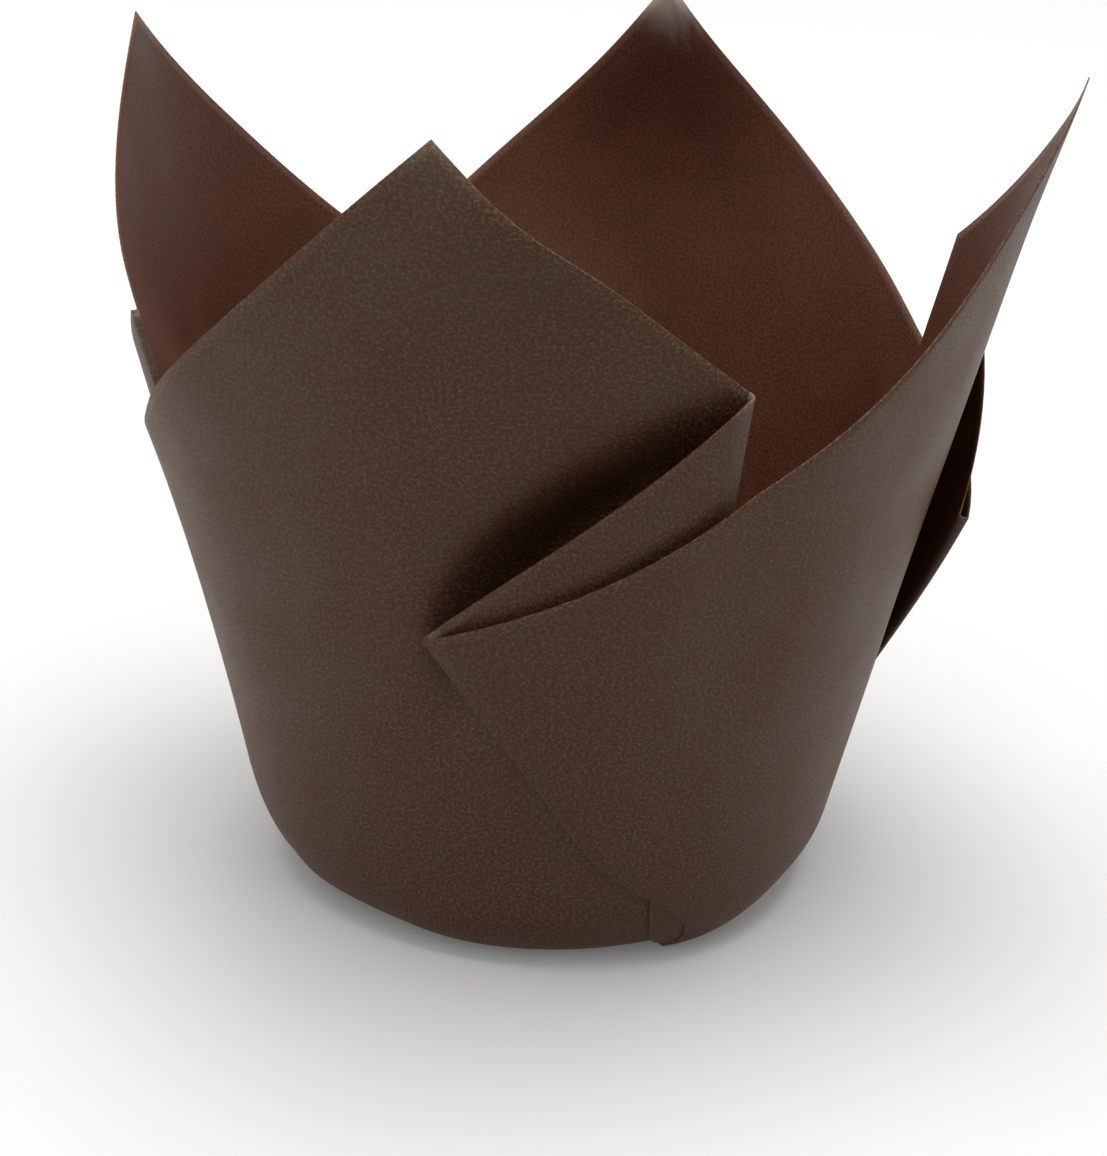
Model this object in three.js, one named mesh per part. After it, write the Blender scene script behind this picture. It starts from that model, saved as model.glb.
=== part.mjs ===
// Tulip baking cup: one square sheet of greaseproof paper, pressed into a round cup whose four corners
// stand up as petals, with a deep knife pleat between each two. Millimetres, +Z up, the origin at the
// middle of the base's underside. The petals point to -Y, +X, +Y and -X, in that order.
import * as THREE from 'three';

// The paper
const sheetSide = 150;
const paperThickness = 0.12;
// The sheet sits a little off the cup's axis, so one petal stands higher than the one across from it
const sheetOffset = new THREE.Vector2(0.8, -0.5);

// The cup that the paper is pressed into
const baseRadius = 26.4;
const wallLean = THREE.MathUtils.degToRad(11.3);
const pressReach = 34;

// The pleats, which lap the same way round. Each grows out of the base as a soft step, at a root that
// lies rootTurn round from the corner between its petals.
const layerStep = 0.3;
const rootLength = 3.5;
const rootLine = 0.2;
const rootGrowth = 0.14;
const rootShift = 0.93;
const rootTurn = THREE.MathUtils.degToRad(5);
const rootBulge = 0.2;
const bulgeHeight = 30;
const coverStart = THREE.MathUtils.degToRad(15);
const coverEnd = THREE.MathUtils.degToRad(45);
const creaseEase = THREE.MathUtils.degToRad(5.5);

// Each pleat on its own. Crease A ends creaseStart from the middle of the side, and crease B ends at the
// middle. The petal inside dips innerDip behind the middle layer, which itself stands out middleOpening,
// and the outer petal's edge stands edgeFlare off that. A pleat can spring open, so that the end of its
// crease B stands springLift off the wall and springRise higher than in a tight pleat.
const pleats = [
  { creaseStart: 43.4, innerDip: 7, middleOpening: 2, edgeFlare: 0.6, springLift: 0, springRise: 0 },
  { creaseStart: 47, innerDip: 0.5, middleOpening: 0.6, edgeFlare: 0.5, springLift: 2.5, springRise: 5.5 },
  { creaseStart: 43.5, innerDip: 1.5, middleOpening: 1.5, edgeFlare: 0.8, springLift: 0, springRise: 0 },
  { creaseStart: 42, innerDip: 1.5, middleOpening: 1.2, edgeFlare: 0.8, springLift: 1.2, springRise: 0 },
];
// The dip's middle runs along the pleat's mouth, from its height near crease A to that near crease B
const dipInnerHeight = 52;
const dipOuterHeight = 33;
const dipReach = 7.5;
const openingHeight = 60;
const openingStart = THREE.MathUtils.degToRad(8);
const openingWidth = THREE.MathUtils.degToRad(42);

// Round the cup, at the petals and half way between them: the radius of the soft edge between base and
// wall, and how far the whole wall leans out near its top
const baseEdgeRadii = [6, 7.5, 9, 8, 8, 9, 16, 10];
const wallBends = [5.8, 4, 1.8, -1.8, -2.5, -4.5, 0, 7.2];

// Soft bends that handling left at the petals' tips: how far each one's middle lies across and down from
// the petal's corner, how far it reaches, and how far it lifts the paper outwards
const tipBends = [
  { petal: 0, across: 5.5, down: 5.5, reach: 7, lift: 2.4 },
  { petal: 1, across: 0, down: 0, reach: 9, lift: 0.5 },
  { petal: 2, across: 0, down: 0, reach: 13, lift: -6.5 },
];

// The mesh: columns across a petal and a pleat, rows up the sheet
const leftColumns = 9;
const rightColumns = 6;
const bendSteps = 3;
const layerColumns = 4;
const baseRows = 3;
const rootRows = 6;
const wallRows = 17;
const rowSpread = 1.25;
const flattestBend = 0.001;

const quarterTurn = Math.PI / 2;
const halfDiagonal = sheetSide / Math.SQRT2;
const wallRise = quarterTurn - wallLean;
const coneLength = baseRadius / Math.sin(wallLean);
const rootTangent = Math.tan(quarterTurn / 2 * Math.sin(wallLean));
const sharpRoot = (coneLength - baseRadius) * rootTangent * Math.SQRT2 / (1 - rootTangent);
const rootRadius = rootShift * sharpRoot;
const innerRadius = baseRadius - Math.max(...baseEdgeRadii) * Math.tan(wallRise / 2);

const smooth = (value, from = 0, to = 1) => THREE.MathUtils.smoothstep(value, from, to);
const mix = THREE.MathUtils.lerp;

// A direction in the flat sheet, at an angle counterclockwise from petal 0's corner seen from above
function flatDirection(angle) {
  return new THREE.Vector2(Math.sin(angle), -Math.cos(angle));
}

function sheetCorner(petal) {
  return flatDirection(petal * quarterTurn).multiplyScalar(halfDiagonal).add(sheetOffset);
}

// Where the fold axis between a petal and the next one meets the sheet's edge
function sideMiddle(petal) {
  const start = sheetCorner(petal);
  const along = sheetCorner(petal + 1).sub(start);
  const axis = flatDirection((petal + 0.5) * quarterTurn);
  const share = -start.cross(axis) / along.cross(axis);
  return start.add(along.multiplyScalar(share));
}

// The edge point where crease A of a petal ends
function creaseEnd(petal) {
  const middle = sideMiddle(petal);
  const towards = sheetCorner(petal).sub(middle);
  return middle.add(towards.multiplyScalar(pleats[petal].creaseStart / towards.length()));
}

// A flat point as a petal sees it, with y towards its own corner
function inPetal(petal, point) {
  const up = flatDirection(petal * quarterTurn);
  const across = flatDirection((petal + 1) * quarterTurn);
  return new THREE.Vector2(point.dot(across), point.dot(up));
}

// Pressing a flat point into the cup. Near the middle the paper stays in the disc, and further out it
// wraps round the cone without stretching. The result is the way up the wall from the base circle, and
// the angle round the cup from the petal's own middle.
function press(petal, point) {
  const flat = inPetal(petal, point);
  const radius = flat.length();
  const angle = Math.atan2(flat.x, flat.y);
  const fromApex = new THREE.Vector2(flat.x, flat.y + coneLength - baseRadius);
  const onCone = smooth(radius, 0.7 * baseRadius, 0.7 * baseRadius + pressReach);
  return {
    climb: mix(radius - baseRadius, fromApex.length() - coneLength, onCone),
    turn: mix(angle, Math.atan2(fromApex.x, fromApex.y) / Math.sin(wallLean), onCone),
  };
}

// A value at an angle round the cup, between those given at the petals and half way between them
function roundCup(values, angle) {
  const place = THREE.MathUtils.euclideanModulo(angle / (quarterTurn / 2), values.length);
  const before = Math.floor(place);
  const after = (before + 1) % values.length;
  return mix(values[before], values[after], smooth(place - before));
}

// The wall's section: the radius and height at a climb, and the direction that faces out of the paper
function wallSection(climb, angle) {
  const edgeRadius = roundCup(baseEdgeRadii, angle);
  const edgeReach = edgeRadius * Math.tan(wallRise / 2);
  const share = THREE.MathUtils.clamp((climb + edgeReach) / (2 * edgeReach), 0, 1);
  const tilt = share * wallRise;
  const past = Math.max(climb - edgeReach, 0);
  const before = Math.min(climb + edgeReach, 0);
  return {
    radius: baseRadius - edgeReach + before + edgeRadius * Math.sin(tilt) + past * Math.sin(wallLean),
    height: paperThickness / 2 + edgeRadius * (1 - Math.cos(tilt)) + past * Math.cos(wallLean),
    outward: Math.sin(tilt),
    downward: Math.cos(tilt),
  };
}

// A point of the cup, lifted off the wall by a distance, at an angle round the cup from petal 0
function cupPoint(climb, angle, lift) {
  const section = wallSection(climb, angle);
  const radius = section.radius + lift * section.outward;
  const height = section.height - lift * section.downward;
  return new THREE.Vector3(radius * Math.sin(angle), -radius * Math.cos(angle), height);
}

// How far across a pleat's opening an angle lies, from its crease A to its crease B
function openingShare(pleat, angle) {
  const fromPleat = (pleat + 0.5) * quarterTurn - openingStart - angle;
  return THREE.MathUtils.clamp(fromPleat / openingWidth, 0, 1);
}

// How far a pleat's middle layer stands open, at a climb and an angle round the cup
function middleOpening(pleat, climb, angle) {
  const rise = Math.pow(Math.max(climb, 0) / openingHeight, 1.5);
  return pleats[pleat].middleOpening * rise * Math.sin(Math.PI * openingShare(pleat, angle));
}

// How far the petal inside a pleat dips behind the middle layer
function innerDip(pleat, climb, angle) {
  const across = openingShare(pleat, angle);
  const height = mix(dipInnerHeight, dipOuterHeight, across);
  const near = Math.exp(-(((climb - height) / dipReach) ** 2));
  return pleats[pleat].innerDip * near * Math.sin(Math.PI * across);
}

// What every layer shares at one angle round the cup: the lean, more and more towards the top, and the
// rounded corners of the base at the pleats' roots
function wallBend(climb, angle) {
  const up = Math.max(climb, 0) / halfDiagonal;
  const bulge = rootBulge * Math.exp(-Math.max(climb, 0) / bulgeHeight) * wallSection(climb, angle).outward;
  return roundCup(wallBends, angle) * up * up - bulge * Math.cos(4 * angle);
}

// How far handling has lifted a flat point of a petal
function tipLift(petal, point) {
  const fromCorner = inPetal(petal, point).sub(inPetal(petal, sheetCorner(petal)));
  return tipBends.filter((bend) => bend.petal === petal).reduce((total, bend) => {
    const distance = Math.hypot(fromCorner.x - bend.across, fromCorner.y + bend.down);
    return total + bend.lift * Math.exp(-((distance / bend.reach) ** 2));
  }, 0);
}

// What one row of the sheet has in common round the cup. A pleat starts as a soft step at its root and
// sharpens until both of its bends turn the paper right back.
function sheetRow(row) {
  const height = Math.pow(Math.max(row - baseRows - rootRows, 0) / wallRows, rowSpread);
  const rootStart = rootRadius - rootLength;
  const rootShare = THREE.MathUtils.clamp((row - baseRows) / rootRows, 0, 1);
  const radius = row < baseRows
    ? mix(innerRadius, rootStart, row / baseRows)
    : mix(rootStart, rootRadius, rootShare);
  const growth = 0.5 * rootShare + 0.5 * smooth(height, 0, rootGrowth);
  const bend = mix(flattestBend, Math.PI, growth);
  const bendRadius = layerStep / 2 * Math.PI / bend;
  const bendRise = bendRadius * (1 - Math.cos(bend));
  const rise = 2 * bendRise + rootLine * Math.sin(bend);
  const width = 2 * bendRadius * Math.sin(bend) + rootLine * (1 + Math.cos(bend));
  return { height, radius, bend, bendRadius, bendRise, rise, inset: width / 2 / radius };
}

// A spot of a petal on one row. A column runs straight from the root circle to its place on the cut
// edge, and the first one is crease B of the pleat before.
function petalSpot(petal, row, column) {
  const onLeft = column <= leftColumns;
  const share = onLeft ? column / leftColumns : (column - leftColumns) / rightColumns;
  const corner = sheetCorner(petal);
  const end = onLeft
    ? sideMiddle(petal - 1).lerp(corner, share)
    : corner.lerp(creaseEnd(petal), share);
  const rootAngle = onLeft
    ? (share - 1) * (quarterTurn / 2 + rootTurn)
    : share * (quarterTurn / 2 - rootTurn);
  const start = flatDirection(petal * quarterTurn + rootAngle).multiplyScalar(row.radius);
  const flat = start.lerp(end, row.height);
  const pressed = press(petal, flat);
  const nearB = onLeft ? Math.pow(1 - share, 4) : 0;
  const ease = creaseEase * nearB * Math.sin(Math.PI * Math.pow(row.height, 0.75));
  const placed = pressed.turn + ease + (onLeft ? row.inset * (1 - share) : -row.inset * share);
  const angle = petal * quarterTurn + placed;
  const before = (petal + 3) % 4;
  const angleBefore = before === 3 ? angle + 4 * quarterTurn : angle;
  const pleat = pleats[before];
  const climb = pressed.climb + pleat.springRise * nearB * row.height;
  const flare = pleat.edgeFlare * Math.pow(row.height, 6);
  const raised = row.rise + flare + middleOpening(before, climb, angleBefore);
  const sprung = pleat.springLift * nearB * row.height * row.height;
  const covering = smooth(-placed, coverStart, coverEnd) * raised;
  const handled = tipLift(petal, flat) - innerDip(petal, climb, angle);
  return { climb, angle, lift: covering + sprung + wallBend(climb, angle) + handled };
}

// The spots between crease A and crease B: a bend, the middle layer running back, and a second bend
function pleatSpots(pleat, row, creaseA, creaseB) {
  const ring = wallSection(creaseA.climb, creaseA.angle).radius;
  const layerSpot = (share) => {
    const climb = mix(creaseA.climb, creaseB.climb, share);
    const sweep = row.bendRadius * Math.sin(row.bend) / ring;
    const angle = mix(creaseA.angle + sweep, creaseB.angle - sweep, share);
    const sprung = pleats[pleat].springLift * row.height * row.height * share;
    const open = middleOpening(pleat, climb, angle) + sprung + wallBend(climb, angle);
    return { climb, angle, lift: mix(row.bendRise, row.rise - row.bendRise, share) + open };
  };
  const bendSpots = (crease, layer, way) => {
    const spots = [];
    for (let step = 1; step <= bendSteps; step += 1) {
      const turned = row.bend * step / bendSteps;
      const share = (1 - Math.cos(turned)) / (1 - Math.cos(row.bend));
      const sweep = way * row.bendRadius * Math.sin(turned) / ring;
      spots.push({
        climb: mix(crease.climb, layer.climb, share),
        angle: crease.angle + sweep,
        lift: mix(crease.lift, layer.lift, share),
      });
    }
    return spots;
  };
  const layer = [];
  for (let column = 1; column < layerColumns; column += 1) {
    layer.push(layerSpot(column / layerColumns));
  }
  const bendA = bendSpots(creaseA, layerSpot(0), 1);
  const bendB = bendSpots(creaseB, layerSpot(1), -1).reverse();
  return [...bendA, ...layer, ...bendB];
}

// One row of a quadrant: the petal, then the pleat up to the next petal's first spot
function quadrantSpots(petal, row) {
  const spots = [];
  for (let column = 0; column <= leftColumns + rightColumns; column += 1) {
    spots.push(petalSpot(petal, row, column));
  }
  const creaseA = spots[spots.length - 1];
  const creaseB = petalSpot((petal + 1) % 4, row, 0);
  if (petal === 3) {
    creaseB.angle += 4 * quarterTurn;
  }
  return [...spots, ...pleatSpots(petal, row, creaseA, creaseB)];
}

// The paper's middle surface as rows of points round the cup, from the base disc out to the cut edge
const rowCount = baseRows + rootRows + wallRows;
const rows = [];
for (let row = 0; row <= rowCount; row += 1) {
  const spots = pleats.flatMap((_, petal) => quadrantSpots(petal, sheetRow(row)));
  rows.push(spots.map(({ climb, angle, lift }) => cupPoint(climb, angle, lift)));
}
const columnCount = rows[0].length;

function gridIndex(row, column) {
  return row * columnCount + column % columnCount;
}

// The middle surface as a mesh, to take its normals from. They point out of the cup and down.
const surfaceIndex = [];
for (let row = 0; row < rowCount; row += 1) {
  for (let column = 0; column < columnCount; column += 1) {
    const here = gridIndex(row, column);
    const right = gridIndex(row, column + 1);
    const above = gridIndex(row + 1, column);
    const aboveRight = gridIndex(row + 1, column + 1);
    surfaceIndex.push(here, right, aboveRight, here, aboveRight, above);
  }
}
const discCentre = rows.flat().length;
for (let column = 0; column < columnCount; column += 1) {
  surfaceIndex.push(discCentre, gridIndex(0, column + 1), gridIndex(0, column));
}
const middleSurface = new THREE.BufferGeometry();
middleSurface.setFromPoints([...rows.flat(), new THREE.Vector3(0, 0, paperThickness / 2)]);
middleSurface.setIndex(surfaceIndex);
middleSurface.computeVertexNormals();

// The sheet as a solid: the middle surface pushed half a thickness each way, closed along the cut edge
function thicken(surface, thickness) {
  const place = surface.attributes.position;
  const normal = surface.attributes.normal;
  const count = place.count;
  const points = [];
  for (const side of [1, -1]) {
    for (let i = 0; i < count; i += 1) {
      const point = new THREE.Vector3().fromBufferAttribute(place, i);
      const push = new THREE.Vector3().fromBufferAttribute(normal, i);
      points.push(point.addScaledVector(push, side * thickness / 2));
    }
  }
  const index = [...surface.index.array];
  for (let i = 0; i < surface.index.count; i += 3) {
    const [a, b, c] = [0, 1, 2].map((step) => surface.index.array[i + step] + count);
    index.push(a, c, b);
  }
  for (let column = 0; column < columnCount; column += 1) {
    const here = gridIndex(rowCount, column);
    const right = gridIndex(rowCount, column + 1);
    index.push(here, right, right + count, here, right + count, here + count);
  }
  const solid = new THREE.BufferGeometry().setFromPoints(points);
  solid.setIndex(index);
  solid.computeVertexNormals();
  return solid;
}

const paper = new THREE.MeshStandardMaterial({ color: '#4f4038', roughness: 0.62, metalness: 0 });
const sheet = new THREE.Mesh(thicken(middleSurface, paperThickness), paper);
sheet.name = 'paper_cup';

const cup = new THREE.Group();
cup.add(sheet);

export default cup;
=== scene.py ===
"""Tulip baking cup: one square of dark brown greaseproof paper, folded into a cup with four petals.

The paper is drawn as the flat sheet that it is cut as, and pressed into the cup point by point. Its UV
map is the flat sheet, so the fibres run across the folds as they do on the real paper. Sizes are in
metres and angles in radians.
"""

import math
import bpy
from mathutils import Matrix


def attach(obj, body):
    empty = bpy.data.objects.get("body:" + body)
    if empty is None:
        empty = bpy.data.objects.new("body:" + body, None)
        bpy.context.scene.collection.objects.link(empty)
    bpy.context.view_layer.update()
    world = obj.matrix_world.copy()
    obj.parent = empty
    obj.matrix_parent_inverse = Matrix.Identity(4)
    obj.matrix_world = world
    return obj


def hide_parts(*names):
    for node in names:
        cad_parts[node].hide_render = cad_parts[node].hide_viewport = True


bl_info = {
    "name": "Tulip Baking Cup",
    "version": (1, 0, 0),
    "blender": (4, 5, 0),
    "location": "3D View > Sidebar > Tulip Cup",
    "description": "Folds a square of greaseproof paper into a tulip baking cup and lights it on a table",
    "category": "Object",
}

import bpy
from mathutils import Matrix, Vector

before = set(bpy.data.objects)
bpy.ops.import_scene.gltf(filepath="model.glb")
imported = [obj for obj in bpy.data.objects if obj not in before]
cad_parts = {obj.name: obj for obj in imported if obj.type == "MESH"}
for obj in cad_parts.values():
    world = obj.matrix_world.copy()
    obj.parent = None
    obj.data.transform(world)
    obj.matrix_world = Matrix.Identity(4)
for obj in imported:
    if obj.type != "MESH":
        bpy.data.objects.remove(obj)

NODE = "paper_cup"
BODY = "root"
# The mesh attribute for paleness: wear along the creases and at the tips, and a painted highlight at the
# back petal's tip
WEAR_AND_HIGHLIGHT = "wear_and_highlight"
MILLIMETRE = 0.001
QUARTER_TURN = math.pi / 2

# The camera's place, as the picture shows the cup. It stands to the right of the front, above the mouth's
# height, looks at a point near the axis, and is held a little crooked. The focal length is in pixels of a
# picture this high.
PICTURE_HEIGHT = 1156
FOCAL_PIXELS = 2273.7
CAMERA_AZIMUTH = math.radians(13.75)
CAMERA_ELEVATION = math.radians(22.2)
CAMERA_ROLL = math.radians(2.62)
CAMERA_DISTANCE = 0.2181
AIM_HEIGHT = 0.02723
AIM_SIDE_STEP = -0.00022


class TulipPaperSizes(bpy.types.PropertyGroup):
    """The cut sheet and the cup that it is pressed into"""

    sheet_side: bpy.props.FloatProperty(
        name="Sheet side",
        description="Side of the square that the cup is folded from",
        default=0.150,
        unit="LENGTH",
    )
    thickness: bpy.props.FloatProperty(
        name="Thickness",
        description="Thickness of the paper",
        default=0.00012,
        unit="LENGTH",
    )
    offset_x: bpy.props.FloatProperty(
        name="Offset X",
        description="How far the sheet's middle sits off the cup's axis, to the right",
        default=0.0008,
        unit="LENGTH",
    )
    offset_y: bpy.props.FloatProperty(
        name="Offset Y",
        description="How far the sheet's middle sits off the cup's axis, to the back",
        default=-0.0005,
        unit="LENGTH",
    )
    base_radius: bpy.props.FloatProperty(
        name="Base radius",
        description="Radius where the wall's line meets the base's plane",
        default=0.0264,
        unit="LENGTH",
    )
    wall_lean: bpy.props.FloatProperty(
        name="Wall lean",
        description="How far the wall leans out from upright",
        default=math.radians(11.3),
        unit="ROTATION",
    )
    press_reach: bpy.props.FloatProperty(
        name="Press reach",
        description="Width of the band where the paper eases from the flat base onto the cone",
        default=0.034,
        unit="LENGTH",
    )
    layer_step: bpy.props.FloatProperty(
        name="Layer step",
        description="From one layer of a pleat to the next, at its creases",
        default=0.0003,
        unit="LENGTH",
    )
    root_length: bpy.props.FloatProperty(
        name="Root length",
        description="Length over which a pleat grows out of the smooth base",
        default=0.0035,
        unit="LENGTH",
    )
    root_line: bpy.props.FloatProperty(
        name="Root line",
        description="Straight part between a pleat's two bends at its root",
        default=0.0002,
        unit="LENGTH",
    )


class TulipPaperColours(bpy.types.PropertyGroup):
    """The colours of the paper and of what it stands on"""

    paper: bpy.props.StringProperty(
        name="Paper",
        description="Colour of the paper, as sRGB hex",
        default="#431b0c",
    )
    fleck: bpy.props.StringProperty(
        name="Fleck",
        description="Colour of the paper's lighter fibres, as sRGB hex",
        default="#673b2b",
    )
    # Paler, greyer speckles on the side that faces out of the cup: partly grain, partly painted sheen
    grain_and_painted_sheen: bpy.props.StringProperty(
        name="Grain and painted sheen",
        description="Colour of the loose fibres on the rough side, as sRGB hex",
        default="#6f6852",
    )
    # Pale colour along the creases and at the tips: wear, and at the back petal's tip mostly a painted
    # highlight
    worn_and_lit: bpy.props.StringProperty(
        name="Worn and lit",
        description="Colour of the paper where its fibres are bent, as sRGB hex",
        default="#c4b3a6",
    )
    sheen: bpy.props.StringProperty(
        name="Sheen",
        description="Colour of the sheen along the paper's surface, as sRGB hex",
        default="#f2f4dc",
    )
    floor: bpy.props.StringProperty(
        name="Floor",
        description="Colour of the table under the cup, as sRGB hex",
        default="#f4f3f1",
    )
    floor_bounce: bpy.props.StringProperty(
        name="Floor bounce",
        description="Colour that the table has for the light it throws back on the cup, as sRGB hex",
        default="#4b4946",
    )


class Pleat:
    """One pleat on its own.

    Its inner crease ends crease_start from the middle of the side. The petal inside dips inner_dip behind
    the middle layer, which itself stands out middle_opening, and the outer petal's edge stands edge_flare
    off that. A pleat can spring open: the end of its outer crease then stands spring_lift off the wall
    and spring_rise higher.
    """

    def __init__(
        self, crease_start, inner_dip, middle_opening, edge_flare, spring_lift=0, spring_rise=0,
    ):
        self.crease_start = crease_start * MILLIMETRE
        self.inner_dip = inner_dip * MILLIMETRE
        self.middle_opening = middle_opening * MILLIMETRE
        self.edge_flare = edge_flare * MILLIMETRE
        self.spring_lift = spring_lift * MILLIMETRE
        self.spring_rise = spring_rise * MILLIMETRE


class TipBend:
    """A soft bend that handling left at a petal's tip.

    Its middle lies across and down from the petal's corner in the flat sheet, and it lifts the paper
    outwards.
    """

    def __init__(self, petal, across, down, reach, lift):
        self.petal = petal
        self.across = across * MILLIMETRE
        self.down = down * MILLIMETRE
        self.reach = reach * MILLIMETRE
        self.lift = lift * MILLIMETRE


# The pleats, counterclockwise from the one at the front's right
PLEATS = (
    Pleat(crease_start=43.4, inner_dip=7, middle_opening=2, edge_flare=0.6),
    Pleat(
        crease_start=47, inner_dip=0.5, middle_opening=0.6, edge_flare=0.5, spring_lift=2.5, spring_rise=5.5,
    ),
    Pleat(crease_start=43.5, inner_dip=1.5, middle_opening=1.5, edge_flare=0.8),
    Pleat(crease_start=42, inner_dip=1.5, middle_opening=1.2, edge_flare=0.8, spring_lift=1.2),
)

# Where a pleat's pocket stands open: the dip runs along a line from one height at the inner crease to
# another at the outer one, and the opening is full at its height
DIP_INNER_HEIGHT = 0.052
DIP_OUTER_HEIGHT = 0.033
DIP_REACH = 0.0075
OPENING_HEIGHT = 0.060
OPENING_START = math.radians(8)
OPENING_WIDTH = math.radians(42)

# How a pleat leaves the base: its root lies at this share of the sharp fold's radius, turned to the left,
# and the bends grow sharp over the first part of the wall
ROOT_SHIFT = 0.93
ROOT_TURN = math.radians(5)
ROOT_GROWTH = 0.14
ROOT_BULGE = 0.0002
BULGE_HEIGHT = 0.030

# Where the outer petal climbs onto the pleat, and how far its crease bows
COVER_START = math.radians(15)
COVER_END = math.radians(45)
CREASE_EASE = math.radians(5.5)

# Round the cup, at the petals and half way between them: the radius of the soft edge between base and
# wall, and how far the whole wall leans out at a petal's height
BASE_EDGE_RADII = (0.006, 0.0075, 0.009, 0.008, 0.008, 0.009, 0.016, 0.010)
WALL_BENDS = (0.0058, 0.004, 0.0018, -0.0018, -0.0025, -0.0045, 0.0, 0.0072)

TIP_BENDS = (
    TipBend(0, 5.5, 5.5, 7, 2.4),
    TipBend(1, 0, 0, 9, 0.5),
    TipBend(2, 0, 0, 13, -6.5),
)

# How far the paleness shows: wear along the creases, and at each petal's tip, where the back petal's is
# mostly a painted highlight of its bent tip catching the light and glowing through
CREASE_WEAR = 0.22
TIP_WEAR_AND_HIGHLIGHT = (0.1, 0.1, 1.0, 0.1)
TIP_WEAR_AND_HIGHLIGHT_REACH = 0.0042

# The paper's texture, in millimetres: its fibre clumps, its cloudiness, and the depth of its relief
CLUMP_SIZE = 0.3
CLOUD_SIZE = 8
RELIEF_DEPTH = 0.03

# The strength of the room's light, and of the white that the camera sees on the table and beyond it
ROOM_LIGHT = 0.15
FLOOR_GLOW = 0.08
BACKDROP_WHITE = 1.0
WHITE = (1, 1, 1, 1)

# The two lamps: their places, their sides in metres and their powers in watts
CEILING_PLACE = (0.0, -1.0, 2.4)
CEILING_SIZE = 6.0
CEILING_POWER = 60.0
LAMP_PLACE = (0.0, 0.1, 2.4)
LAMP_SIZE = 1.9
LAMP_POWER = 43.0
LAMP_AIM_HEIGHT = 0.03
TABLE_SIDE = 6.0

# The mesh: columns across a petal and a pleat, rows up the sheet
LEFT_COLUMNS = 34
RIGHT_COLUMNS = 16
BEND_STEPS = 6
LAYER_COLUMNS = 16
DISC_ROWS = 8
BASE_ROWS = 10
ROOT_ROWS = 18
WALL_ROWS = 72
ROW_SPREAD = 1.25
FLATTEST_BEND = 0.001


def mix(start, end, share):
    """The value or point part of the way from start to end."""
    return start + (end - start) * share


def clamp(value, low=0.0, high=1.0):
    """The value, held between low and high."""
    return min(max(value, low), high)


def smooth(value, low=0.0, high=1.0):
    """0 before low, 1 past high, and an easy curve between."""
    share = clamp((value - low) / (high - low))
    return share * share * (3 - 2 * share)


def flat_direction(angle):
    """A direction in the flat sheet, at an angle counterclockwise from the nearest petal's corner."""
    return Vector((math.sin(angle), -math.cos(angle)))


def round_cup(values, angle):
    """A value at an angle round the cup, between those given at the petals and half way between them."""
    place = angle / (QUARTER_TURN / 2) % len(values)
    before = int(place) % len(values)
    after = (before + 1) % len(values)
    return mix(values[before], values[after], smooth(place - int(place)))


class Spot:
    """A place on the folded paper: its climb, angle and lift off the wall, its flat place, and its paleness
    from wear and painted highlight.
    """

    def __init__(self, climb, angle, lift, flat, wear_and_highlight=0.0):
        self.climb = climb
        self.angle = angle
        self.lift = lift
        self.flat = flat
        self.wear_and_highlight = wear_and_highlight


class Row:
    """What one row of the sheet has in common round the cup.

    A pleat starts as a soft step at its root, and sharpens until both of its bends turn the paper back.
    """

    def __init__(self, fold, radius, root_share, height):
        sizes = fold.sizes
        growth = 0.5 * root_share + 0.5 * smooth(height, 0, ROOT_GROWTH)
        self.radius = radius
        self.root_share = root_share
        self.height = height
        self.bend = mix(FLATTEST_BEND, math.pi, growth)
        self.bend_radius = sizes.layer_step / 2 * math.pi / self.bend
        self.bend_rise = self.bend_radius * (1 - math.cos(self.bend))
        self.rise = 2 * self.bend_rise + sizes.root_line * math.sin(self.bend)
        width = 2 * self.bend_radius * math.sin(self.bend) + sizes.root_line * (1 + math.cos(self.bend))
        self.inset = width / 2 / radius


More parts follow.
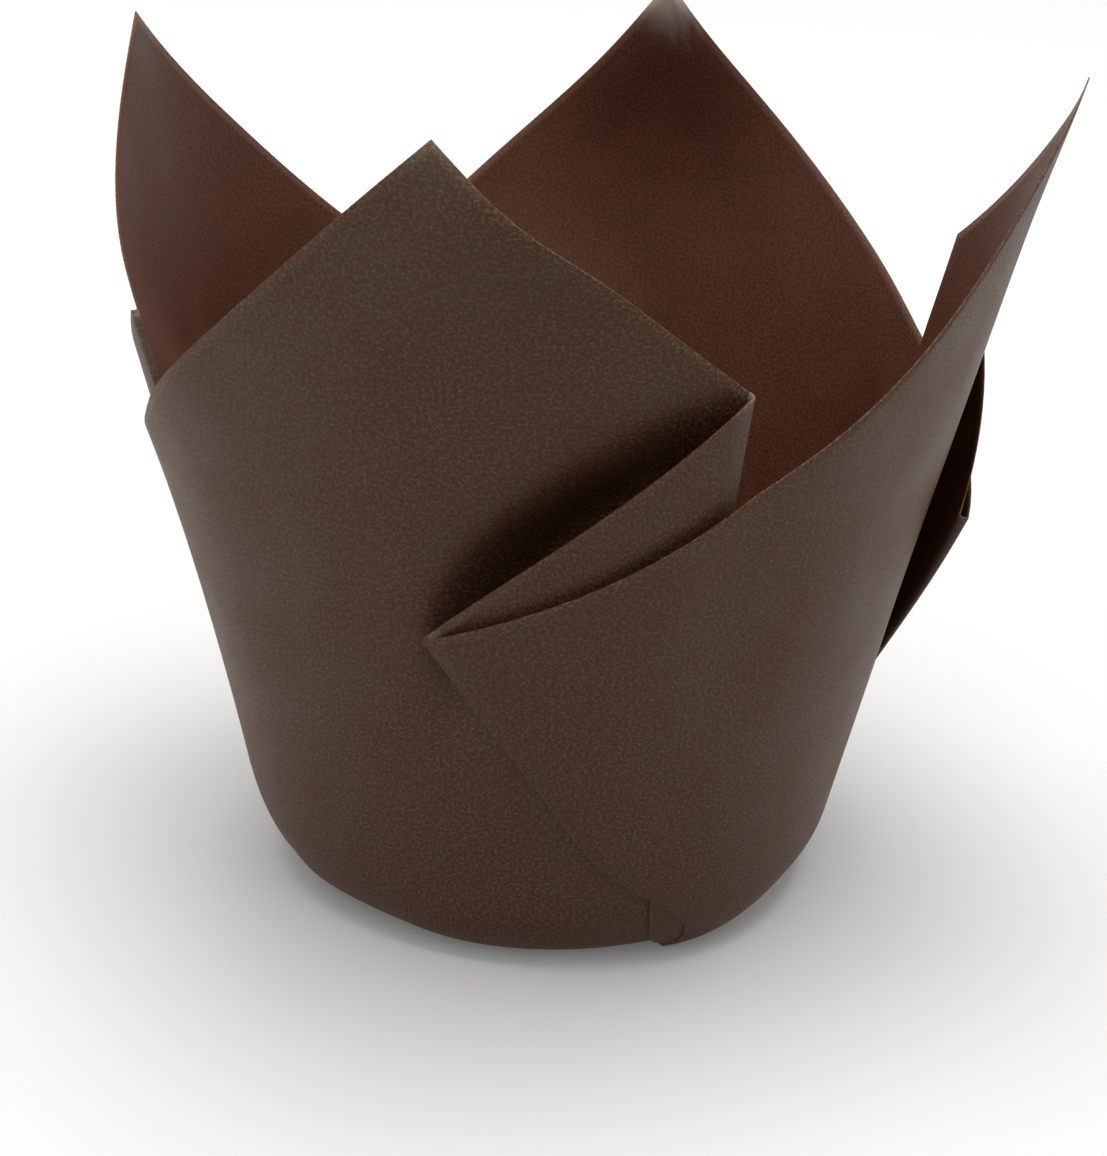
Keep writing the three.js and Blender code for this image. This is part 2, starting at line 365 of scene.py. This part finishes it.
class Fold:
    """The fold that takes the flat square to the cup."""

    def __init__(self, sizes):
        self.sizes = sizes
        self.offset = Vector((sizes.offset_x, sizes.offset_y))
        self.half_diagonal = sizes.sheet_side / math.sqrt(2)
        self.wall_rise = QUARTER_TURN - sizes.wall_lean
        self.cone_length = sizes.base_radius / math.sin(sizes.wall_lean)
        root = math.tan(QUARTER_TURN / 2 * math.sin(sizes.wall_lean))
        sharp_root = (self.cone_length - sizes.base_radius) * root * math.sqrt(2) / (1 - root)
        self.root_radius = ROOT_SHIFT * sharp_root
        self.inner_radius = sizes.base_radius - max(BASE_EDGE_RADII) * math.tan(self.wall_rise / 2)

    def corner(self, petal):
        """The flat place of a petal's tip."""
        return flat_direction(petal * QUARTER_TURN) * self.half_diagonal + self.offset

    def side_middle(self, petal):
        """Where the fold axis between a petal and the next one meets the sheet's edge."""
        start = self.corner(petal)
        along = self.corner(petal + 1) - start
        axis = flat_direction((petal + 0.5) * QUARTER_TURN)
        share = -start.cross(axis) / along.cross(axis)
        return start + along * share

    def crease_end(self, petal):
        """The edge point where the inner crease of a petal's pleat ends."""
        middle = self.side_middle(petal)
        return middle + (self.corner(petal) - middle).normalized() * PLEATS[petal].crease_start

    def press(self, petal, point):
        """The climb and the angle from the petal's middle that a flat point is pressed to.

        Near the middle the paper stays in the disc. Further out it wraps round the cone unstretched.
        """
        sizes = self.sizes
        up = flat_direction(petal * QUARTER_TURN)
        across = flat_direction((petal + 1) * QUARTER_TURN)
        x, y = point.dot(across), point.dot(up)
        radius = math.hypot(x, y)
        from_apex = y + self.cone_length - sizes.base_radius
        cone_start = 0.7 * sizes.base_radius
        on_cone = smooth(radius, cone_start, cone_start + sizes.press_reach)
        cone_climb = math.hypot(x, from_apex) - self.cone_length
        cone_turn = math.atan2(x, from_apex) / math.sin(sizes.wall_lean)
        climb = mix(radius - sizes.base_radius, cone_climb, on_cone)
        return climb, mix(math.atan2(x, y), cone_turn, on_cone)

    def wall_section(self, climb, angle):
        """The wall's radius, its height, and how far the paper has turned up there."""
        sizes = self.sizes
        edge_radius = round_cup(BASE_EDGE_RADII, angle)
        edge_reach = edge_radius * math.tan(self.wall_rise / 2)
        tilt = clamp((climb + edge_reach) / (2 * edge_reach)) * self.wall_rise
        past = max(climb - edge_reach, 0)
        before = min(climb + edge_reach, 0)
        radius = sizes.base_radius - edge_reach + before + edge_radius * math.sin(tilt)
        radius += past * math.sin(sizes.wall_lean)
        height = sizes.thickness / 2 + edge_radius * (1 - math.cos(tilt))
        return radius, height + past * math.cos(sizes.wall_lean), tilt

    def place(self, spot):
        """The spot's point in the cup."""
        radius, height, tilt = self.wall_section(spot.climb, spot.angle)
        radius += spot.lift * math.sin(tilt)
        height -= spot.lift * math.cos(tilt)
        return Vector((radius * math.sin(spot.angle), -radius * math.cos(spot.angle), height))

    def middle_opening(self, pleat, climb, angle):
        """How far a pleat's middle layer stands open at a place on the wall."""
        rise = (max(climb, 0) / OPENING_HEIGHT) ** 1.5
        return PLEATS[pleat].middle_opening * rise * math.sin(math.pi * self.opening_share(pleat, angle))

    def inner_dip(self, pleat, climb, angle):
        """How far the petal inside a pleat dips behind the middle layer."""
        across = self.opening_share(pleat, angle)
        height = mix(DIP_INNER_HEIGHT, DIP_OUTER_HEIGHT, across)
        near = math.exp(-((climb - height) / DIP_REACH) ** 2)
        return PLEATS[pleat].inner_dip * near * math.sin(math.pi * across)

    def opening_share(self, pleat, angle):
        """How far across a pleat's opening an angle lies, from its inner crease to its outer one."""
        return clamp(((pleat + 0.5) * QUARTER_TURN - OPENING_START - angle) / OPENING_WIDTH)

    def wall_bend(self, climb, angle):
        """What every layer shares at one angle: the wall's lean, and the base's rounded corners."""
        tilt = self.wall_section(climb, angle)[2]
        bulge = ROOT_BULGE * math.exp(-max(climb, 0) / BULGE_HEIGHT) * math.sin(tilt)
        lean = round_cup(WALL_BENDS, angle) * (max(climb, 0) / self.half_diagonal) ** 2
        return lean - bulge * math.cos(4 * angle)

    def tip_lift(self, petal, point):
        """How far handling has lifted a flat point of a petal."""
        away = point - self.corner(petal)
        x = away.dot(flat_direction((petal + 1) * QUARTER_TURN))
        y = away.dot(flat_direction(petal * QUARTER_TURN))
        lift = 0
        for bend in TIP_BENDS:
            if bend.petal == petal:
                distance = math.hypot(x - bend.across, y + bend.down)
                lift += bend.lift * math.exp(-(distance / bend.reach) ** 2)
        return lift

    def tip_wear_and_highlight(self, petal, point):
        """How pale a flat point near a petal's tip is: wear from handling, and at the back petal's tip
        mostly a painted highlight.
        """
        distance = (point - self.corner(petal)).length
        return TIP_WEAR_AND_HIGHLIGHT[petal] * math.exp(-(distance / TIP_WEAR_AND_HIGHLIGHT_REACH) ** 4)

    def petal_spot(self, petal, row, share, left):
        """A spot of a petal, a share of the way across its left or right half.

        A column runs straight from the root circle to its place on the cut edge, and the first one is
        the outer crease of the pleat before.
        """
        corner = self.corner(petal)
        if left:
            end = mix(self.side_middle(petal - 1), corner, share)
            root_angle = (share - 1) * (QUARTER_TURN / 2 + ROOT_TURN)
            inset = row.inset * (1 - share)
        else:
            end = mix(corner, self.crease_end(petal), share)
            root_angle = share * (QUARTER_TURN / 2 - ROOT_TURN)
            inset = -row.inset * share
        start = flat_direction(petal * QUARTER_TURN + root_angle) * row.radius
        flat = mix(start, end, row.height)
        climb, turn = self.press(petal, flat)
        near_b = (1 - share) ** 4 if left else 0
        placed = turn + inset + CREASE_EASE * near_b * math.sin(math.pi * row.height ** 0.75)
        angle = petal * QUARTER_TURN + placed
        before = (petal + 3) % 4
        pleat = PLEATS[before]
        angle_before = angle + 2 * math.pi if before == 3 else angle
        climb += pleat.spring_rise * near_b * row.height
        flare = pleat.edge_flare * row.height ** 6
        raised = row.rise + flare + self.middle_opening(before, climb, angle_before)
        lift = smooth(-placed, COVER_START, COVER_END) * raised
        lift += pleat.spring_lift * near_b * row.height ** 2 + self.wall_bend(climb, angle)
        lift += self.tip_lift(petal, flat) - self.inner_dip(petal, climb, angle)
        return Spot(climb, angle, lift, flat - self.offset, self.tip_wear_and_highlight(petal, flat))

    def pleat_spots(self, pleat, row, crease_a, crease_b):
        """The spots between a pleat's creases: a bend, the middle layer running back, and a bend."""
        ring = self.wall_section(crease_a.climb, crease_a.angle)[0]
        full_sweep = row.bend_radius * math.sin(row.bend) / ring

        def layer_spot(share):
            climb = mix(crease_a.climb, crease_b.climb, share)
            angle = mix(crease_a.angle + full_sweep, crease_b.angle - full_sweep, share)
            lift = mix(row.bend_rise, row.rise - row.bend_rise, share)
            lift += PLEATS[pleat].spring_lift * row.height ** 2 * share
            lift += self.middle_opening(pleat, climb, angle) + self.wall_bend(climb, angle)
            return Spot(climb, angle, lift, mix(crease_a.flat, crease_b.flat, share))

        def bend_spots(crease, layer, way):
            spots = []
            for step in range(1, BEND_STEPS + 1):
                turned = row.bend * step / BEND_STEPS
                share = (1 - math.cos(turned)) / (1 - math.cos(row.bend))
                sweep = way * row.bend_radius * math.sin(turned) / ring
                spots.append(Spot(
                    mix(crease.climb, layer.climb, share),
                    crease.angle + sweep,
                    mix(crease.lift, layer.lift, share),
                    crease.flat,
                    CREASE_WEAR * row.root_share,
                ))
            return spots

        spots = bend_spots(crease_a, layer_spot(0), 1)
        spots += [layer_spot(column / LAYER_COLUMNS) for column in range(1, LAYER_COLUMNS)]
        return spots + bend_spots(crease_b, layer_spot(1), -1)[::-1]

    def row_spots(self, row):
        """All the spots of one row, round the cup."""
        spots = []
        for petal in range(4):
            for column in range(LEFT_COLUMNS + 1):
                spots.append(self.petal_spot(petal, row, column / LEFT_COLUMNS, True))
            for column in range(1, RIGHT_COLUMNS + 1):
                spots.append(self.petal_spot(petal, row, column / RIGHT_COLUMNS, False))
            crease_b = self.petal_spot((petal + 1) % 4, row, 0, True)
            if petal == 3:
                crease_b.angle += 2 * math.pi
            spots += self.pleat_spots(petal, row, spots[-1], crease_b)
        return spots

    def rows(self):
        """The rows of the sheet, from near the middle of the base to the cut edge."""
        rows = []
        root_start = self.root_radius - self.sizes.root_length
        for step in range(1, DISC_ROWS):
            rows.append(Row(self, self.inner_radius * step / DISC_ROWS, 0, 0))
        for step in range(BASE_ROWS):
            rows.append(Row(self, mix(self.inner_radius, root_start, step / BASE_ROWS), 0, 0))
        for step in range(ROOT_ROWS):
            share = step / ROOT_ROWS
            rows.append(Row(self, mix(root_start, self.root_radius, share), share, 0))
        for step in range(WALL_ROWS + 1):
            rows.append(Row(self, self.root_radius, 1, (step / WALL_ROWS) ** ROW_SPREAD))
        return rows


def linear_colour(hex_colour):
    """An sRGB hex colour as linear RGBA."""
    values = [int(hex_colour[place:place + 2], 16) / 255 for place in (1, 3, 5)]
    linear = [v / 12.92 if v <= 0.04045 else ((v + 0.055) / 1.055) ** 2.4 for v in values]
    return (*linear, 1.0)


def add_node(tree, kind, settings=None, inputs=None):
    """Adds a shader node, sets its properties and its sockets, and links the sockets given as outputs."""
    node = tree.nodes.new(kind)
    for name, value in (settings or {}).items():
        setattr(node, name, value)
    for name, value in (inputs or {}).items():
        if isinstance(value, bpy.types.NodeSocket):
            tree.links.new(value, node.inputs[name])
        else:
            node.inputs[name].default_value = value
    return node


def new_material(name):
    """An empty node material, with its output node."""
    material = bpy.data.materials.new(name)
    material.use_nodes = True
    material.node_tree.nodes.clear()
    return material, material.node_tree


def greaseproof_paper(colours, sheet_side):
    """Unbleached greaseproof paper, dyed dark brown: long-beaten fibres, pressed smooth by the rolls.

    The eye gets a close, fine mottle of lighter fibre clumps, a faint cloudiness, and a soft gloss that
    greys the brown where the paper is seen along its surface. The side that faces out of the cup gets
    paler, greyer speckles on its fibre clumps, partly grain and partly painted sheen, so the inside stays
    redder.
    """
    material, tree = new_material("Dark brown greaseproof paper")
    place = add_node(tree, "ShaderNodeTexCoord").outputs["UV"]
    side = sheet_side / MILLIMETRE
    mottle = add_node(tree, "ShaderNodeTexNoise", {}, {
        "Vector": place, "Scale": side / CLUMP_SIZE, "Detail": 2.0, "Roughness": 0.8,
    })
    cloud = add_node(tree, "ShaderNodeTexNoise", {}, {
        "Vector": place, "Scale": side / CLOUD_SIZE, "Detail": 4.0, "Roughness": 0.6,
    })
    cloud_share = add_node(tree, "ShaderNodeMath", {"operation": "MULTIPLY"}, {
        0: cloud.outputs["Fac"], 1: 0.2,
    })
    fibres = add_node(tree, "ShaderNodeMath", {"operation": "ADD"}, {
        0: mottle.outputs["Fac"], 1: cloud_share.outputs["Value"],
    })
    share = add_node(tree, "ShaderNodeMapRange", {}, {
        "Value": fibres.outputs["Value"], "From Min": 0.5, "From Max": 0.7,
    })
    brown = add_node(tree, "ShaderNodeMix", {"data_type": "RGBA"}, {
        "Factor": share.outputs["Result"],
        "A": linear_colour(colours.paper),
        "B": linear_colour(colours.fleck),
    })
    # The side that faces out of the cup gets paler, greyer speckles on its fibre clumps: partly grain,
    # partly painted sheen, so that the inside stays redder
    faces = add_node(tree, "ShaderNodeTexCoord")
    outwards = add_node(tree, "ShaderNodeVectorMath", {"operation": "MULTIPLY"}, {
        0: faces.outputs["Object"], 1: (1, 1, 0),
    })
    facing = add_node(tree, "ShaderNodeVectorMath", {"operation": "DOT_PRODUCT"}, {
        0: outwards.outputs["Vector"], 1: faces.outputs["Normal"],
    })
    sheen_side = add_node(tree, "ShaderNodeMath", {"operation": "GREATER_THAN"}, {
        0: facing.outputs["Value"], 1: 0.0,
    })
    grain_and_painted_sheen = add_node(tree, "ShaderNodeMapRange", {}, {
        "Value": mottle.outputs["Fac"], "From Min": 0.51, "From Max": 0.62,
    })
    painted_sheen_share = add_node(tree, "ShaderNodeMath", {"operation": "MULTIPLY"}, {
        0: grain_and_painted_sheen.outputs["Result"], 1: sheen_side.outputs["Value"],
    })
    brown_with_sheen = add_node(tree, "ShaderNodeMix", {"data_type": "RGBA"}, {
        "Factor": painted_sheen_share.outputs["Value"],
        "A": brown.outputs["Result"],
        "B": linear_colour(colours.grain_and_painted_sheen),
    })
    # Bent fibres are paler: in a hairline along each crease, and where the tips were handled. At the back
    # petal's tip this paleness is mostly a painted highlight, where the bent tip catches the light and glows
    # through
    worn_and_lit = add_node(tree, "ShaderNodeAttribute", {"attribute_name": WEAR_AND_HIGHLIGHT})
    colour = add_node(tree, "ShaderNodeMix", {"data_type": "RGBA"}, {
        "Factor": worn_and_lit.outputs["Fac"],
        "A": brown_with_sheen.outputs["Result"],
        "B": linear_colour(colours.worn_and_lit),
    })
    rough = add_node(tree, "ShaderNodeMapRange", {}, {
        "Value": cloud.outputs["Fac"], "From Min": 0.3, "From Max": 0.7, "To Min": 0.5, "To Max": 0.62,
    })
    bump = add_node(tree, "ShaderNodeBump", {}, {
        "Height": mottle.outputs["Fac"], "Strength": 0.4, "Distance": RELIEF_DEPTH * MILLIMETRE,
    })
    paper = add_node(tree, "ShaderNodeBsdfPrincipled", {}, {
        "Base Color": colour.outputs["Result"],
        "Roughness": rough.outputs["Result"],
        "Normal": bump.outputs["Normal"],
        "IOR": 1.5,
        "Specular IOR Level": 0.45,
        "Specular Tint": linear_colour(colours.sheen),
    })
    add_node(tree, "ShaderNodeOutputMaterial", {}, {"Surface": paper.outputs["BSDF"]})
    return material


def seen_directly(tree):
    """1 for what the camera sees itself, in a reflection or through glass, and 0 for other light."""
    path = add_node(tree, "ShaderNodeLightPath")
    camera_or_gloss = add_node(tree, "ShaderNodeMath", {"operation": "MAXIMUM"}, {
        0: path.outputs["Is Camera Ray"], 1: path.outputs["Is Glossy Ray"],
    })
    return add_node(tree, "ShaderNodeMath", {"operation": "MAXIMUM"}, {
        0: camera_or_gloss.outputs["Value"], 1: path.outputs["Is Transmission Ray"],
    }).outputs["Value"]


def pale_table(colours):
    """A matt, pale table top, which throws less light back on the cup than the camera sees on it."""
    material, tree = new_material("Matt pale table")
    seen = seen_directly(tree)
    colour = add_node(tree, "ShaderNodeMix", {"data_type": "RGBA"}, {
        "Factor": seen,
        "A": linear_colour(colours.floor_bounce),
        "B": linear_colour(colours.floor),
    })
    top = add_node(tree, "ShaderNodeBsdfDiffuse", {}, {"Color": colour.outputs["Result"]})
    glow_strength = add_node(tree, "ShaderNodeMath", {"operation": "MULTIPLY"}, {
        0: seen, 1: FLOOR_GLOW,
    })
    glow = add_node(tree, "ShaderNodeEmission", {}, {"Strength": glow_strength.outputs["Value"]})
    floor = add_node(tree, "ShaderNodeAddShader", {}, {0: top.outputs["BSDF"], 1: glow.outputs["Emission"]})
    add_node(tree, "ShaderNodeOutputMaterial", {}, {"Surface": floor.outputs["Shader"]})
    return material


class TULIPCUP_OT_camera(bpy.types.Operator):
    """Set the camera at the picture's viewing angle"""

    bl_idname = "tulip_cup.camera"
    bl_label = "Camera"

    def execute(self, context):
        away = Vector((math.sin(CAMERA_AZIMUTH), -math.cos(CAMERA_AZIMUTH), 0))
        right = Vector((math.cos(CAMERA_AZIMUTH), math.sin(CAMERA_AZIMUTH), 0))
        aim = Vector((0, 0, AIM_HEIGHT)) + right * AIM_SIDE_STEP
        data = bpy.data.cameras.new("Picture camera")
        data.lens = data.sensor_width * FOCAL_PIXELS / PICTURE_HEIGHT
        data.clip_start = 0.01
        camera = bpy.data.objects.new("Picture camera", data)
        context.collection.objects.link(camera)
        camera.location = aim + away * CAMERA_DISTANCE * math.cos(CAMERA_ELEVATION)
        camera.location.z += CAMERA_DISTANCE * math.sin(CAMERA_ELEVATION)
        look = (aim - camera.location).to_track_quat("-Z", "Y")
        camera.rotation_euler = (look.to_matrix() @ Matrix.Rotation(CAMERA_ROLL, 3, "Z")).to_euler()
        context.scene.camera = camera
        return {"FINISHED"}


class TULIPCUP_OT_paper(bpy.types.Operator):
    """Fold the sheet of paper into the cup"""

    bl_idname = "tulip_cup.paper"
    bl_label = "Folded paper"

    def execute(self, context):
        sizes = context.scene.tulip_cup_sizes
        fold = Fold(sizes)
        rows = [fold.row_spots(row) for row in fold.rows()]
        columns = len(rows[0])
        points = [fold.place(spot) for spots in rows for spot in spots]
        flats = [spot.flat for spots in rows for spot in spots]
        centre = len(points)
        points.append(Vector((0, 0, sizes.thickness / 2)))
        flats.append(Vector((0, 0)))
        faces = []
        for row in range(len(rows) - 1):
            for column in range(columns):
                after = (column + 1) % columns
                low, high = row * columns, (row + 1) * columns
                faces.append((low + column, low + after, high + after, high + column))
        for column in range(columns):
            faces.append((centre, (column + 1) % columns, column))
        mesh = bpy.data.meshes.new("Folded paper")
        mesh.from_pydata(points, [], faces)
        uv_map = mesh.uv_layers.new(name="Flat sheet")
        for loop in mesh.loops:
            flat = flats[loop.vertex_index] / sizes.sheet_side
            uv_map.data[loop.index].uv = (flat.x + 0.5, flat.y + 0.5)
        wear_and_highlight = mesh.attributes.new(WEAR_AND_HIGHLIGHT, "FLOAT", "POINT")
        for index, spot in enumerate(spot for spots in rows for spot in spots):
            wear_and_highlight.data[index].value = spot.wear_and_highlight
        mesh.shade_smooth()
        cup = bpy.data.objects.new("folded_paper", mesh)
        context.collection.objects.link(cup)
        cup.data.materials.append(greaseproof_paper(context.scene.tulip_cup_colours, sizes.sheet_side))
        thicken = cup.modifiers.new("Paper thickness", "SOLIDIFY")
        thicken.thickness = sizes.thickness
        thicken.offset = 0
        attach(cup, BODY)
        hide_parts(NODE)
        return {"FINISHED"}


class TULIPCUP_OT_stage(bpy.types.Operator):
    """Add the table, the lamps and the pale surroundings"""

    bl_idname = "tulip_cup.stage"
    bl_label = "Stage"

    def execute(self, context):
        colours = context.scene.tulip_cup_colours
        bpy.ops.object.select_all(action="DESELECT")
        bpy.ops.mesh.primitive_plane_add(size=TABLE_SIDE, location=(0, 0, 0))
        floor = context.object
        floor.name = "table_top"
        floor.data.materials.append(pale_table(colours))
        add_area_lamp(context, "Soft ceiling", CEILING_PLACE, CEILING_SIZE, CEILING_POWER)
        add_area_lamp(context, "Lamp above", LAMP_PLACE, LAMP_SIZE, LAMP_POWER)
        world = bpy.data.worlds.new("Pale room")
        world.use_nodes = True
        tree = world.node_tree
        tree.nodes.clear()
        room = add_node(tree, "ShaderNodeBackground", {}, {"Color": WHITE, "Strength": ROOM_LIGHT})
        backdrop = add_node(tree, "ShaderNodeBackground", {}, {"Color": WHITE, "Strength": BACKDROP_WHITE})
        shown = add_node(tree, "ShaderNodeMixShader", {}, {
            0: seen_directly(tree), 1: room.outputs["Background"], 2: backdrop.outputs["Background"],
        })
        add_node(tree, "ShaderNodeOutputWorld", {}, {"Surface": shown.outputs["Shader"]})
        context.scene.world = world
        context.scene.view_settings.view_transform = "Standard"
        return {"FINISHED"}


def add_area_lamp(context, name, location, size, power):
    """A square soft lamp that faces the cup."""
    data = bpy.data.lights.new(name, "AREA")
    data.size = size
    data.energy = power
    lamp = bpy.data.objects.new(name, data)
    lamp.location = location
    look = Vector((0, 0, LAMP_AIM_HEIGHT)) - lamp.location
    lamp.rotation_euler = look.to_track_quat("-Z", "Y").to_euler()
    context.collection.objects.link(lamp)
    return lamp


class TULIPCUP_PT_panel(bpy.types.Panel):
    """The cup's sizes and colours, and a button for each piece"""

    bl_idname = "TULIPCUP_PT_panel"
    bl_label = "Tulip Baking Cup"
    bl_space_type = "VIEW_3D"
    bl_region_type = "UI"
    bl_category = "Tulip Cup"

    def draw(self, context):
        layout = self.layout
        for group in (context.scene.tulip_cup_sizes, context.scene.tulip_cup_colours):
            box = layout.box()
            for name in group.__annotations__:
                box.prop(group, name)
        for operator in (TULIPCUP_OT_camera, TULIPCUP_OT_paper, TULIPCUP_OT_stage):
            layout.operator(operator.bl_idname)


CLASSES = (
    TulipPaperSizes,
    TulipPaperColours,
    TULIPCUP_OT_camera,
    TULIPCUP_OT_paper,
    TULIPCUP_OT_stage,
    TULIPCUP_PT_panel,
)


def register():
    """Registers the classes and adds the two groups of properties to the scene."""
    for cls in CLASSES:
        bpy.utils.register_class(cls)
    bpy.types.Scene.tulip_cup_sizes = bpy.props.PointerProperty(type=TulipPaperSizes)
    bpy.types.Scene.tulip_cup_colours = bpy.props.PointerProperty(type=TulipPaperColours)


def unregister():
    """Takes the properties and the classes away again."""
    del bpy.types.Scene.tulip_cup_sizes
    del bpy.types.Scene.tulip_cup_colours
    for cls in reversed(CLASSES):
        bpy.utils.unregister_class(cls)


def main():
    """Builds the scene."""
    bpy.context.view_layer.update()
    register()
    bpy.ops.tulip_cup.camera()
    bpy.ops.tulip_cup.paper()
    bpy.ops.tulip_cup.stage()


if __name__ == "__main__":
    main()
